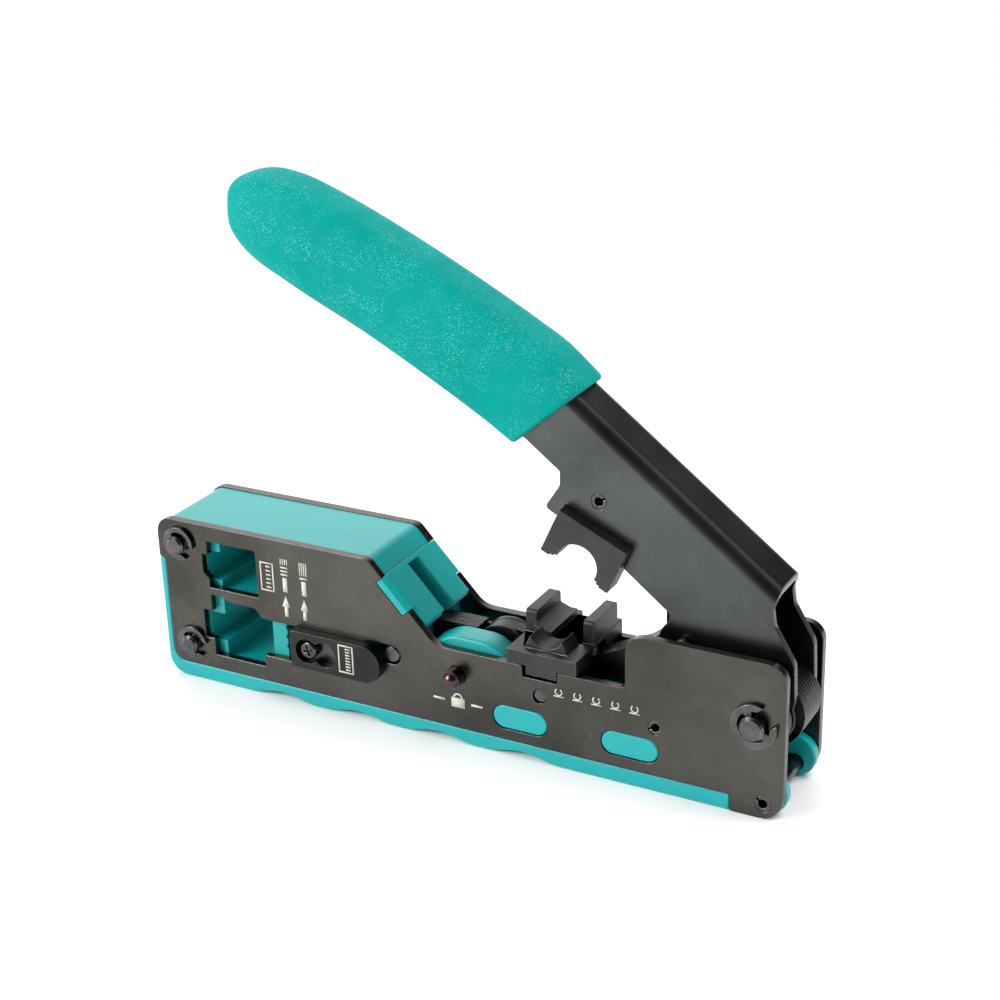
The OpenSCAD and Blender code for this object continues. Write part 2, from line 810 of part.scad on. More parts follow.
// Side view that trims the flanges, with the flange lobes round the pivot and link pins
module flange_profile() {
    tip = web_start + 14 * up + 12 * [-up[1], up[0]];
    low = (channel_d - web_d) * -1;
    function on_low(x) = [x, (low - up[0] * x) / up[1]];
    end_x = 2;
    difference() {
        union() {
            polygon(outline([[tip[0], tip[1], 0], [end_x, 40, 0], [end_x, 24.4, 0],
                [1.05, 21.2, 3], [1.5, 18.1, 3], [5.6, 11.2, 4], [6, 2, 2], [-6, -1, 2],
                [-21.1, 8.6, 5], [-21.3, 11.5, 0], [-18.6, 16.2, 1.6], [-27.9, 23.5, 0],
                [-36, 30, 0], [-42.6, 32.4, 1], [-44.6, 33.6, 0.8], [-41.4, 38.4, 3],
                [on_low(-41.4)[0], on_low(-41.4)[1], 0.6], [on_low(-60)[0], on_low(-60)[1], 0]]));
            disc(pivot, 6);
            disc(link_at, 5.6);
        }
        rotate(-swing) rect([die_x - punch_half - slack, die_x + punch_half + slack],
            [-10, punch_z[1] + slack]);
        disc(pivot, pivot_r + slack);
        disc(link_at, pin_r + slack);
        disc(turned(punch_pin_at, -swing), stop_r + slack);
    }
}

// Straight channel with its flanges, and the curved tongue inside the grip
module handle_channel() {
    root_a = 0.5;
    color("dimgray") {
        intersection() {
            spine_straight(82) channel_section(40);
            slab(-channel_w, channel_w) flange_profile();
        }
        spine_bend(bend_1_at, bend_1_r, web_a - root_a, bend_1_a + root_a) tongue_section(0.06);
        spine_bend(bend_2_at, bend_2_r, web_a2 - root_a / 4, bend_2_a) tongue_section(0.14);
    }
}

// Rounded rectangle whose corners are three flats each
module grip_section() {
    h = [-grip_h + grip_rise, grip_rise];
    w = grip_w / 2;
    near = grip_r * 0.13;
    far = grip_r * 0.5;
    steps = [[0, grip_r], [near, far], [far, near], [grip_r, 0]];
    polygon([for (c = steps) [h[0] + c[0], -w + c[1]], for (c = steps) [h[1] - c[1], -w + c[0]],
        for (c = steps) [h[1] - c[0], w - c[1]], for (c = steps) [h[0] + c[1], w - c[0]]]);
}

// Soft sleeve with a rounded tip, cut square at an angle at its mouth
module handle_grip() {
    tip_a = web_a2 + bend_2_a + grip_tip_a;
    tip_r = grip_h / 2;
    mid_r = bend_2_r + grip_rise - tip_r;
    tip_at = bend_2_at + mid_r * [cos(tip_a), sin(tip_a)];
    mouth = [-51.6, 45.2];
    mouth_a = 39;
    mouth_turn = 15;
    hollow_w = channel_w / 2 + slack;
    seam_a = 0.3;
    w = grip_w / 2;
    chamfer = grip_r * 0.6;
    color("lightseagreen") difference() {
        union() {
            spine_bend(bend_1_at, bend_1_r, web_a - mouth_turn, bend_1_a + mouth_turn) grip_section();
            spine_bend(bend_2_at, bend_2_r, web_a2, bend_2_a + grip_tip_a) grip_section();
            translate([tip_at[0], 0, tip_at[1]]) rotate([90, 0, 0]) rotate_extrude()
                polygon([[0, -w], [tip_r - chamfer, -w], [tip_r, -w + chamfer],
                    [tip_r, w - chamfer], [tip_r - chamfer, w], [0, w]]);
        }
        slab(-grip_w, grip_w) translate(mouth) rotate(mouth_a) rect([-20, 40], [-40, 0]);
        spine_curve(30) rect([-channel_d - slack, slack], [-hollow_w, hollow_w]);
        // Opens the plane where the straight hollow meets the curved one
        spine_bend(bend_1_at, bend_1_r, web_a - seam_a, 2 * seam_a)
            rect([-channel_d - slack + eps, slack - eps], [-hollow_w + eps, hollow_w - eps]);
    }
}

// Punch: an arched jaw proud of the front flange, and a hub held between the flanges
module clip_punch() {
    arch_r = 4.2;
    arch_z = 6.2;
    step_z = 5.6;
    foot_z = 5.1;
    hub = channel_w / 2 - sheet_t - 0.1;
    color("darkslategray") rotate([0, swing, 0]) difference() {
        union() {
            slab(punch_y[0], punch_y[1]) difference() {
                rect([die_x - punch_half, die_x + punch_half], punch_z);
                disc([die_x, arch_z], arch_r);
                rect([die_x - arch_r, die_x + arch_r], [0, arch_z]);
                rect([die_x - arch_r - 0.65, die_x + arch_r + 0.65], [0, step_z]);
                rect([die_x - arch_r - 1.4, die_x + arch_r + 1.4], [0, foot_z]);
            }
            slab(-hub - 0.05, hub) difference() {
                polygon(outline([[die_x - 5.8, 10.4, 0.5], [die_x - 5.8, 20, 1], [-48.8, 22.2, 1],
                    [-42.4, 22.2, 1], [die_x + 6, 17, 1], [die_x + 6, 10.4, 0.5]]));
                disc([die_x, 8.2], 3.6);
            }
            slab(hub - 0.1, channel_w / 2 + 0.6)
                rect([die_x - punch_half, die_x + punch_half], [10.6, punch_z[1]]);
        }
        rod(punch_pin_at, stop_r + slack, -10, 10);
    }
}

module punch_pin() {
    color("gray") rotate([0, swing, 0]) roll_pin(punch_pin_at, stop_r, channel_w / 2 - 0.05, 60);
}

at_home() front_plate();
at_home() rear_plate();
at_home() port_block();
at_home() lower_grip();
at_home() lock_housing();
at_home() rear_spacer();
at_home() head_pins();
at_home() head_clips();
at_home() pivot_pin();
at_home() pivot_clips();
at_home() pivot_spacers();
at_home() anvil_dowels();
at_home() stop_pin();
at_home() corner_pin();
at_home() clip_anvil();
at_home() return_spring();
at_home() strip_blade();
at_home() slider_screw();
at_home() slider_plate();
at_home() lock_pin();
at_home() ram_plates();
at_home() ram_pin();
at_home() ram_guide_pin();
at_home() big_die();
at_home() small_die();
at_home() trim_blade();
at_home() blade_screws();
at_home() push_link();
at_home() lever_plates();
at_home() link_pin();
at_home() handle_channel();
at_home() handle_grip();
at_home() clip_punch();
at_home() punch_pin();
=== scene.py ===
import json
import math

import bmesh
import bpy
from mathutils import Matrix, Vector


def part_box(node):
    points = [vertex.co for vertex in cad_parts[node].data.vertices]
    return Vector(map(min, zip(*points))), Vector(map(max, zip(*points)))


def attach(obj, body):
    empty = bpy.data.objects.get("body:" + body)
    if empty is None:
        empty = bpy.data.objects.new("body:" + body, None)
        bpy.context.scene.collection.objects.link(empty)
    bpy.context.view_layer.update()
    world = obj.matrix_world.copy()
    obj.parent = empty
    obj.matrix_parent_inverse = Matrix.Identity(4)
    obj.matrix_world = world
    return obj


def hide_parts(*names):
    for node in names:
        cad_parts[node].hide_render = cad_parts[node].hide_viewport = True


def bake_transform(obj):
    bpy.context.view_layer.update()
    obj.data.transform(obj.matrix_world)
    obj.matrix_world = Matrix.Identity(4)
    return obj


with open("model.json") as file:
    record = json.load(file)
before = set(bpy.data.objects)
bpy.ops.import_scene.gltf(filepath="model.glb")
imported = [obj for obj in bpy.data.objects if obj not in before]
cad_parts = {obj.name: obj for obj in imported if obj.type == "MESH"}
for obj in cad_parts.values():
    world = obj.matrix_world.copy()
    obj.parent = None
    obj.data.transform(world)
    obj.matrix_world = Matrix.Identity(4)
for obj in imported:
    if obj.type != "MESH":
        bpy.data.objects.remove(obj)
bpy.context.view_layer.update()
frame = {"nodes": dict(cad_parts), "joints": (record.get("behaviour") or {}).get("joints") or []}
MM = 0.001
WELD_REACH = 0.002 * MM
FLAT_ANGLE = math.radians(0.6)
NODES = frame["nodes"]
PIVOT = Vector(next(j["pos_m"] for j in frame["joints"] if j["name"] == "handle_pivot"))
FRONT_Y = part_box("front_plate")[0].y
FLOOR_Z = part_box("lower_grip")[0].z
SLIDER_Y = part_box("slider_plate")[0].y


# ---------------------------------------------------------------- shader helpers

def add(tree, kind, inputs=None, **props):
    """A shader node; inputs may be values or sockets."""
    n = tree.nodes.new("ShaderNode" + kind)
    for key, value in props.items():
        setattr(n, key, value)
    for key, value in (inputs or {}).items():
        if isinstance(value, bpy.types.NodeSocket):
            tree.links.new(value, n.inputs[key])
        else:
            n.inputs[key].default_value = value
    return n


def calc(tree, op, a, b=0.0):
    return add(tree, "Math", {0: a, 1: b}, operation=op).outputs[0]


def noise(tree, scale, detail=3.0, rough=0.55, stretch=(1, 1, 1)):
    """Noise in object space, with scale in cycles per metre."""
    place = add(tree, "TexCoord").outputs["Object"]
    mapped = add(tree, "Mapping", {"Vector": place, "Scale": stretch}).outputs[0]
    return add(tree, "TexNoise", {"Vector": mapped, "Scale": scale, "Detail": detail,
                                  "Roughness": rough}).outputs[0]


def remap(tree, value, low, high, to_low=0.0, to_high=1.0):
    return add(tree, "MapRange", {0: value, 1: low, 2: high, 3: to_low, 4: to_high}).outputs[0]


def blend_color(tree, factor, a, b):
    n = add(tree, "Mix", data_type="RGBA")
    for index, value in ((0, factor), (6, a), (7, b)):
        if isinstance(value, bpy.types.NodeSocket):
            tree.links.new(value, n.inputs[index])
        else:
            n.inputs[index].default_value = value if index == 0 else (*value, 1.0)
    return n.outputs[2]


def bump(tree, height, distance, strength=1.0, below=None):
    inputs = {"Height": height, "Distance": distance, "Strength": strength}
    if below is not None:
        inputs["Normal"] = below
    return add(tree, "Bump", inputs).outputs[0]


def edge_mask(tree, radius):
    """1 on edges sharper than the radius, 0 on flats."""
    rounded = add(tree, "Bevel", {"Radius": radius}, samples=4).outputs[0]
    flat = add(tree, "NewGeometry").outputs["Normal"]
    same = add(tree, "VectorMath", {0: rounded, 1: flat}, operation="DOT_PRODUCT").outputs["Value"]
    return remap(tree, same, 0.995, 0.90)


def finish_material(mat, tree, shader):
    add(tree, "OutputMaterial", {"Surface": shader})
    return mat


def new_material(name):
    mat = bpy.data.materials.new(name)
    mat.use_nodes = True
    mat.node_tree.nodes.clear()
    return mat, mat.node_tree


def metal(name, dark, light, rough, metallic=1.0, patch=90, grain=4500, grain_depth=0.004,
          wear=0.0, wear_color=(0.5, 0.5, 0.5), stretch=(1, 1, 1), edge=0.0002, round_edges=0.0):
    """Coated or bare metal: cloudy patches, fine grain, scuffs and bright worn edges."""
    mat, t = new_material(name)
    cloud = noise(t, patch, 4.0)
    fine = noise(t, grain, 2.0, 0.6, stretch)
    scuff = remap(t, noise(t, 420, 6.0, 0.7), 0.55, 0.75)
    color = blend_color(t, remap(t, cloud, 0.3, 0.72), dark, light)
    color = blend_color(t, calc(t, "MULTIPLY", scuff, 0.05), color, wear_color)
    if wear:
        worn = calc(t, "MULTIPLY", edge_mask(t, edge), remap(t, noise(t, 900), 0.35, 0.7))
        color = blend_color(t, calc(t, "MULTIPLY", worn, wear), color, wear_color)
    rough_map = calc(t, "ADD", remap(t, cloud, 0.25, 0.75, rough - 0.05, rough + 0.07),
                     calc(t, "MULTIPLY", fine, 0.06))
    rounded = None
    if round_edges:
        rounded = add(t, "Bevel", {"Radius": round_edges * MM}, samples=6).outputs[0]
    normal = bump(t, fine, grain_depth * MM, 1.0, rounded)
    normal = bump(t, cloud, 0.012 * MM, 1.0, normal)
    shader = add(t, "BsdfPrincipled", {
        "Base Color": color, "Metallic": metallic, "Roughness": rough_map, "Normal": normal})
    return finish_material(mat, t, shader.outputs[0])


def polymer(name, base, shade, rough, gloss, grain=2600, grain_depth=0.01, speckle=0.0):
    """Moulded plastic or rubber: soft colour drift, fine mould texture, optional pearl speckle."""
    mat, t = new_material(name)
    cloud = noise(t, 70, 3.0)
    fine = noise(t, grain, 3.0, 0.6)
    color = blend_color(t, remap(t, cloud, 0.3, 0.7), base, shade)
    if speckle:
        fleck = remap(t, noise(t, 4600, 1.0), 0.60, 0.70)
        zone = remap(t, noise(t, 160, 3.0, 0.6), 0.36, 0.72)
        color = blend_color(t, calc(t, "MULTIPLY", calc(t, "MULTIPLY", fleck, zone), speckle),
                            color, (0.20, 0.62, 0.57))
    normal = bump(t, fine, grain_depth * MM)
    normal = bump(t, noise(t, 160, 2.0), 0.05 * MM, 0.5, normal)
    shader = add(t, "BsdfPrincipled", {
        "Base Color": color, "Roughness": remap(t, fine, 0.2, 0.8, rough - 0.06, rough + 0.08),
        "Specular IOR Level": gloss, "Normal": normal})
    return finish_material(mat, t, shader.outputs[0])


PLATE = metal("plate_coat", (0.046, 0.045, 0.040), (0.094, 0.090, 0.082), 0.23, patch=38,
              wear=0.25, wear_color=(0.40, 0.39, 0.37), edge=0.00025, round_edges=0.4)
CHANNEL = metal("channel_coat", (0.046, 0.050, 0.049), (0.092, 0.099, 0.097), 0.27,
                wear=0.4, wear_color=(0.36, 0.36, 0.36), patch=40, grain_depth=0.008)
JAW = metal("jaw_black", (0.027, 0.027, 0.026), (0.046, 0.046, 0.044), 0.40, metallic=0.7,
            wear=1.0, wear_color=(0.34, 0.34, 0.33), grain=3200, grain_depth=0.03)
SLIDER = metal("slider_black", (0.026, 0.026, 0.027), (0.044, 0.044, 0.043), 0.40,
               wear=0.7, wear_color=(0.25, 0.25, 0.25), grain_depth=0.01)
SHEETS = metal("sheet_steel", (0.020, 0.020, 0.021), (0.040, 0.040, 0.042), 0.34,
               wear=0.6, wear_color=(0.40, 0.40, 0.41), stretch=(0.4, 1, 0.4), grain_depth=0.008)
PIN = metal("pin_steel", (0.055, 0.052, 0.054), (0.125, 0.119, 0.122), 0.20,
            wear=0.7, wear_color=(0.55, 0.53, 0.53), patch=300)
LOCK = metal("lock_pin_bronze", (0.070, 0.036, 0.045), (0.11, 0.062, 0.072), 0.12,
             wear=0.4, wear_color=(0.5, 0.4, 0.4), patch=300)
STEEL = metal("ground_steel", (0.16, 0.16, 0.17), (0.30, 0.30, 0.31), 0.26,
              wear=0.4, wear_color=(0.8, 0.8, 0.8), stretch=(0.1, 1, 1), grain_depth=0.01)
SPRING = metal("spring_wire", (0.05, 0.05, 0.052), (0.10, 0.10, 0.105), 0.24, patch=400)
BLOCK = polymer("block_plastic", (0.0, 0.275, 0.272), (0.0, 0.300, 0.297), 0.33, 0.42,
                grain_depth=0.006)
GRIP = polymer("lower_grip_rubber", (0.0, 0.315, 0.325), (0.0, 0.345, 0.355), 0.34, 0.45,
               grain_depth=0.008)
SLEEVE = polymer("sleeve_rubber", (0.0, 0.232, 0.208), (0.0, 0.262, 0.238), 0.62, 0.05,
                 grain=2000, grain_depth=0.08, speckle=0.85)
INK = polymer("print_ink", (0.50, 0.49, 0.41), (0.58, 0.57, 0.49), 0.55, 0.1, grain_depth=0.004)

NODE_LOOKS = {
    "front_plate": (PLATE, 0.0), "rear_plate": (PLATE, 0.0), "port_block": (BLOCK, 0.1),
    "lock_housing": (BLOCK, 0.7), "rear_spacer": (BLOCK, 0.35), "head_pins": (PIN, 0.0),
    "head_clips": (PIN, 0.10), "pivot_pin": (PIN, 0.0), "pivot_clips": (PIN, 0.12),
    "pivot_spacers": (PIN, 0.15), "anvil_dowels": (PIN, 0.0), "stop_pin": (PIN, 0.08),
    "corner_pin": (PIN, 0.08), "clip_anvil": (JAW, 0.14), "strip_blade": (STEEL, 0.0),
    "slider_screw": (PIN, 0.05), "slider_plate": (SLIDER, 0.15), "lock_pin": (LOCK, 0.0),
    "ram_plates": (SHEETS, 0.07), "ram_pin": (PIN, 0.0), "ram_guide_pin": (PIN, 0.0),
    "big_die": (STEEL, 0.05), "small_die": (STEEL, 0.05), "trim_blade": (STEEL, 0.0),
    "blade_screws": (PIN, 0.05), "push_link": (SHEETS, 0.07), "lever_plates": (SHEETS, 0.07),
    "link_pin": (PIN, 0.0), "handle_channel": (CHANNEL, 0.18), "clip_punch": (JAW, 0.16),
    "punch_pin": (PIN, 0.08),
}


# ---------------------------------------------------------------- mesh helpers

def mm(*values):
    return Vector([v * MM for v in values])


def dress(obj, width_mm, segments=2, angle=32.0):
    """Welds, cleans and rounds the edges of a CAD-like mesh with modifiers."""
    for poly in obj.data.polygons:
        poly.use_smooth = True
    weld = obj.modifiers.new("weld", "WELD")
    weld.merge_threshold = WELD_REACH
    flat = obj.modifiers.new("flat", "DECIMATE")
    flat.decimate_type = "DISSOLVE"
    flat.angle_limit = FLAT_ANGLE
    if width_mm:
        bevel = obj.modifiers.new("bevel", "BEVEL")
        bevel.width = width_mm * MM
        bevel.segments = segments
        bevel.limit_method = "ANGLE"
        bevel.angle_limit = math.radians(angle)
        bevel.use_clamp_overlap = False
    else:
        split = obj.modifiers.new("split", "EDGE_SPLIT")
        split.split_angle = math.radians(angle)
    normals = obj.modifiers.new("normals", "WEIGHTED_NORMAL")
    normals.weight = 80
    normals.keep_sharp = True


def piece(name, mesh, material, about_pivot=True):
    """A new object; meshes drawn about the handle pivot are moved to it."""
    if about_pivot:
        mesh.transform(Matrix.Translation(PIVOT))
    obj = bpy.data.objects.new(name, mesh)
    bpy.context.scene.collection.objects.link(obj)
    mesh.materials.clear()
    mesh.materials.append(material)
    return obj


def from_bmesh(bm, name):
    mesh = bpy.data.meshes.new(name)
    bmesh.ops.recalc_face_normals(bm, faces=bm.faces)
    bm.to_mesh(mesh)
    bm.free()
    for poly in mesh.polygons:
        poly.use_smooth = True
    return mesh


def rings_to_mesh(name, rings):
    """A closed skin over rings of equal point counts."""
    bm = bmesh.new()
    rows = [[bm.verts.new(p) for p in ring] for ring in rings]
    n = len(rows[0])
    for a, b in zip(rows, rows[1:]):
        for i in range(n):
            bm.faces.new((a[i], a[(i + 1) % n], b[(i + 1) % n], b[i]))
    bm.faces.new(rows[0])
    bm.faces.new(rows[-1])
    return from_bmesh(bm, name)


def smooth_path(points, steps):
    """Catmull-Rom points through a list of vectors."""
    out = []
    for i in range(len(points) - 1):
        p0 = points[max(i - 1, 0)]
        p1, p2 = points[i], points[i + 1]
        p3 = points[min(i + 2, len(points) - 1)]
        for k in range(steps):
            t = k / steps
            out.append(0.5 * ((2 * p1) + (p2 - p0) * t + (2 * p0 - 5 * p1 + 4 * p2 - p3) * t * t
                              + (3 * p1 - p0 - 3 * p2 + p3) * t ** 3))
    out.append(points[-1])
    return out


def extrude_outlines(name, outlines, y0, y1):
    """Closed prisms from side-view outlines in mm, between two depths in metres."""
    bm = bmesh.new()
    for outline in outlines:
        front = [bm.verts.new((x * MM, y0, z * MM)) for x, z in outline]
        back = [bm.verts.new((x * MM, y1, z * MM)) for x, z in outline]
        n = len(outline)
        bm.faces.new(front)
        bm.faces.new(list(reversed(back)))
        for i in range(n):
            bm.faces.new((front[i], back[i], back[(i + 1) % n], front[(i + 1) % n]))
    return from_bmesh(bm, name)


# ---------------------------------------------------------------- CAD nodes keep their shape

# NODE_LOOKS gives each node's material and the width in mm of the bevel on its edges
for node_name, (look, width) in NODE_LOOKS.items():
    node = NODES[node_name]
    node.data.materials.clear()
    node.data.materials.append(look)
    for poly in node.data.polygons:
        poly.material_index = 0
    dress(node, width)


# ---------------------------------------------------------------- lower grip moulding

def remould(node_name, name, body, look, width):
    """A copy of a node's CAD mesh, cleaned and given rounded lips, shown in the node's place."""
    bm = bmesh.new()
    bm.from_mesh(NODES[node_name].data)
    bmesh.ops.remove_doubles(bm, verts=bm.verts, dist=WELD_REACH)
    bmesh.ops.dissolve_limit(bm, angle_limit=FLAT_ANGLE, verts=bm.verts, edges=bm.edges)
    mesh = from_bmesh(bm, name)
    obj = piece(name, mesh, look, about_pivot=False)
    dress(obj, width, 3)
    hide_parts(node_name)
    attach(obj, body)
    return obj


remould("lower_grip", "lower_grip_moulding", "frame", GRIP, 0.45)


# ---------------------------------------------------------------- handle sleeve

# Upper and lower points of each station of the sleeve, with its half width
SLEEVE_STATIONS = [
    ((-37.1, 57.5), (-52.3, 44.5), 7.8), ((-43.9, 63.2), (-57.1, 47.6), 7.9),
    ((-49.3, 66.3), (-61.0, 49.9), 7.95), ((-54.7, 69.3), (-65.4, 52.4), 7.95),
    ((-65.5, 74.9), (-75.0, 57.6), 7.95), ((-76.2, 80.1), (-85.0, 62.7), 7.95),
    ((-86.9, 84.9), (-94.7, 67.1), 7.95), ((-96.5, 88.7), (-102.4, 70.9), 7.85),
    ((-101.7, 90.2), (-106.4, 72.9), 7.6), ((-106.6, 90.8), (-110.0, 75.4), 7.0),
    ((-110.7, 90.0), (-112.7, 78.4), 5.9), ((-113.3, 88.1), (-114.0, 81.1), 4.0),
    ((-114.6, 85.9), (-114.8, 83.1), 1.9),
]
SLEEVE_POINTS = 56
SLEEVE_POWER = 3.3
SLEEVE_STEPS = 5
WALL = 1.9
LIP_SHRINKS = (0.5, 1.0, 1.7)
LIP_BULGES = (0.28, 0.34)
BORE_ROWS = slice(1, 8)


def sleeve_ring(top, bottom, half_w, shrink=0.0):
    """Rounded-rectangle ring between a top and a bottom point, in metres."""
    mid = (top + bottom) / 2
    up = (top - bottom) / 2
    high = up.length - shrink
    up = up.normalized() * high
    side = Vector((0, half_w - shrink, 0))
    ring = []
    for i in range(SLEEVE_POINTS):
        a = 2 * math.pi * i / SLEEVE_POINTS
        c, s = math.cos(a), math.sin(a)
        power = 2 / SLEEVE_POWER
        ring.append(mid + up * math.copysign(abs(s) ** power, s)
                    + side * math.copysign(abs(c) ** power, c))
    return ring


def build_sleeve():
    """Sleeve with a rounded tip, a thick lip at its mouth and a bore for the channel's tongue."""
    tops = smooth_path([mm(t[0], 0, t[1]) for t, b, w in SLEEVE_STATIONS], SLEEVE_STEPS)
    bottoms = smooth_path([mm(b[0], 0, b[1]) for t, b, w in SLEEVE_STATIONS], SLEEVE_STEPS)
    widths = smooth_path([mm(w, 0, 0) for t, b, w in SLEEVE_STATIONS], SLEEVE_STEPS)
    outer = [sleeve_ring(t, b, w.x) for t, b, w in zip(tops, bottoms, widths)]
    lip = [sleeve_ring(tops[0], bottoms[0], widths[0].x, shrink * MM) for shrink in LIP_SHRINKS]
    outward = ((tops[0] + bottoms[0]) - (tops[3] + bottoms[3])).normalized()
    for row, bulge in enumerate(LIP_BULGES):
        lip[row] = [p + outward * bulge * MM for p in lip[row]]
    bore = [sleeve_ring(t, b, w.x, WALL * MM) for t, b, w in
            zip(tops[BORE_ROWS], bottoms[BORE_ROWS], widths[BORE_ROWS])]
    rings = list(reversed(bore)) + list(reversed(lip)) + outer
    mesh = rings_to_mesh("grip_sleeve", rings)
    obj = piece("grip_sleeve", mesh, SLEEVE)
    sub = obj.modifiers.new("smooth", "SUBSURF")
    sub.levels = sub.render_levels = 1
    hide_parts("handle_grip")
    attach(obj, "handle")


build_sleeve()


# ---------------------------------------------------------------- return spring

def tube(name, points, radius, sides=12):
    """A round wire along a path, with its ends closed."""
    rings = []
    side = Vector((0, 1, 0))
    for i, p in enumerate(points):
        ahead = (points[min(i + 1, len(points) - 1)] - points[max(i - 1, 0)]).normalized()
        a = (side - ahead * side.dot(ahead)).normalized()
        b = ahead.cross(a)
        rings.append([p + radius * (a * math.cos(2 * math.pi * k / sides)
                                    + b * math.sin(2 * math.pi * k / sides))
                      for k in range(sides)])
    return rings_to_mesh(name, rings)


COIL_R = 5.2
WIRE_R = 0.58
STOP_R = 1.5
LINK_PIN_R = 2.0
COIL_Y = (-8.1, -6.85)
COIL_STEPS = 90
LEG_STEPS = 9
LEG_PAST = 2.4


def middle_mm(node_name):
    """Side-view centre of a node's box, in mm from the handle pivot."""
    low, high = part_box(node_name)
    middle = ((low + high) / 2 - PIVOT) / MM
    return Vector((middle.x, middle.z))


def tangent_angle(p, side):
    """Angle on the coil where a line from p touches it."""
    return math.atan2(p.y, p.x) + side * math.acos(COIL_R / p.length)


def on_coil(angle):
    return Vector((COIL_R * math.cos(angle), COIL_R * math.sin(angle)))


def build_spring():
    """Coil round the front pivot spacer; one leg on the stop pin, one under the link pin."""
    low = middle_mm("stop_pin") + Vector((0, STOP_R + WIRE_R + 0.05))
    high = middle_mm("link_pin") + Vector((-0.6, -LINK_PIN_R - WIRE_R - 0.1))
    start = tangent_angle(low, 1)
    end = tangent_angle(high, -1)
    while end < start + 2 * math.pi:
        end += 2 * math.pi
    y0, y1 = COIL_Y
    touch = on_coil(start)
    tip = low + (low - touch).normalized() * LEG_PAST
    path = []
    for k in range(LEG_STEPS):
        p = tip + (touch - tip) * (k / LEG_STEPS)
        path.append(mm(p.x, y0, p.y))
    for k in range(COIL_STEPS + 1):
        p = on_coil(start + (end - start) * k / COIL_STEPS)
        path.append(mm(p.x, y0 + (y1 - y0) * k / COIL_STEPS, p.y))
    touch = on_coil(end)
    run = high - touch
    for k in range(1, LEG_STEPS + 1):
        p = touch + (run + run.normalized() * LEG_PAST) * (k / LEG_STEPS)
        path.append(mm(p.x, y1, p.y))
    obj = piece("torsion_spring", tube("torsion_spring", path, WIRE_R * MM), SPRING)
    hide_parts("return_spring")
    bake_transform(obj)


build_spring()


# ---------------------------------------------------------------- printed marks

def bar(x0, z0, x1, z1):
    return [(x0, z0), (x1, z0), (x1, z1), (x0, z1)]


def ring_arc(cx, cz, r, thick, a0, a1, steps=14):
    outer = [(cx + r * math.cos(a0 + (a1 - a0) * k / steps),
              cz + r * math.sin(a0 + (a1 - a0) * k / steps)) for k in range(steps + 1)]
    inner = [(cx + (r - thick) * math.cos(a0 + (a1 - a0) * k / steps),
              cz + (r - thick) * math.sin(a0 + (a1 - a0) * k / steps)) for k in range(steps + 1)]
    return outer + list(reversed(inner))


def arrow_up(x, z0, z1):
    """A plain arrow along +Z."""
    return [bar(x - 0.42, z0, x + 0.42, z0 + 2.2),
            [(x - 0.95, z0 + 2.2), (x + 0.95, z0 + 2.2), (x, z1)]]


def plug_icon(x0, z0, x1, z1, contacts):
    """Outline of a plug seen from its end, with one tick per contact."""
    t = 0.32
    shapes = [bar(x0, z0, x1, z0 + t), bar(x0, z1 - t, x1, z1), bar(x0, z0 + t, x0 + t, z1 - t),
              bar(x1 - t, z0 + t, x1, z1 - t)]
    step = (z1 - z0 - 3 * t) / contacts
    for i in range(contacts):
        z = z0 + 1.5 * t + step * (i + 0.5)
        shapes.append(bar(x1 - 1.9, z - 0.16, x1 - 0.75, z + 0.16))
    return shapes


def cable_icon(x, z0, z1, rings):
    """A stub of cable with screening rings."""
    shapes = [bar(x - 0.55, z0, x + 0.55, z0 + 3.2)]
    z = z0 + 3.7
    for i in range(rings):
        shapes.append(bar(x - 0.9, z, x + 0.9, z + 0.35))
        z += 0.8
    for dx in (-0.75, -0.25, 0.25, 0.75):
        shapes.append(bar(x + dx - 0.12, z, x + dx + 0.12, z1))
    return shapes


def padlock_icon(x, z, s):
    return [bar(x - 1.5 * s, z - 1.3 * s, x + 1.5 * s, z + 0.8 * s),
            ring_arc(x, z + 0.8 * s, 1.1 * s, 0.36 * s, 0.0, math.pi)]


def clip_icon(x, z, s):
    """A small open collar."""
    return [ring_arc(x, z, 1.05 * s, 0.34 * s, math.radians(125), math.radians(415), 18),
            bar(x - 1.35 * s, z - 1.35 * s, x + 1.35 * s, z - 1.05 * s)]


def print_marks(name, shapes, y, body):
    """Ink shapes just proud of the face at depth y, riding on a body."""
    mesh = extrude_outlines(name, shapes, y - 0.03 * MM, y - 0.002 * MM)
    obj = piece(name, mesh, INK)
    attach(obj, body)


print_marks("port_marks", plug_icon(-108.2, 5.4, -104.9, 11.9, 6)
            + arrow_up(-102.3, 0.4, 5.1) + arrow_up(-97.8, 0.4, 5.1)
            + cable_icon(-102.2, 6.0, 13.4, 3) + cable_icon(-97.6, 6.0, 13.4, 1), FRONT_Y, "frame")
print_marks("slider_marks", plug_icon(-88.9, -8.3, -85.3, -2.0, 8), SLIDER_Y, "slider")
print_marks("lock_marks", padlock_icon(-62.4, -10.0, 1.0)
            + [bar(-68.0, -10.3, -65.4, -9.8), bar(-59.4, -10.3, -56.8, -9.8)], FRONT_Y, "frame")
clip_shapes = []
for count in range(5):
    clip_shapes += clip_icon(-40.0 + 4.0 * count, -2.6 + 0.02 * count, 0.8)
print_marks("clip_marks", clip_shapes, FRONT_Y, "frame")


# ---------------------------------------------------------------- floor, light, camera

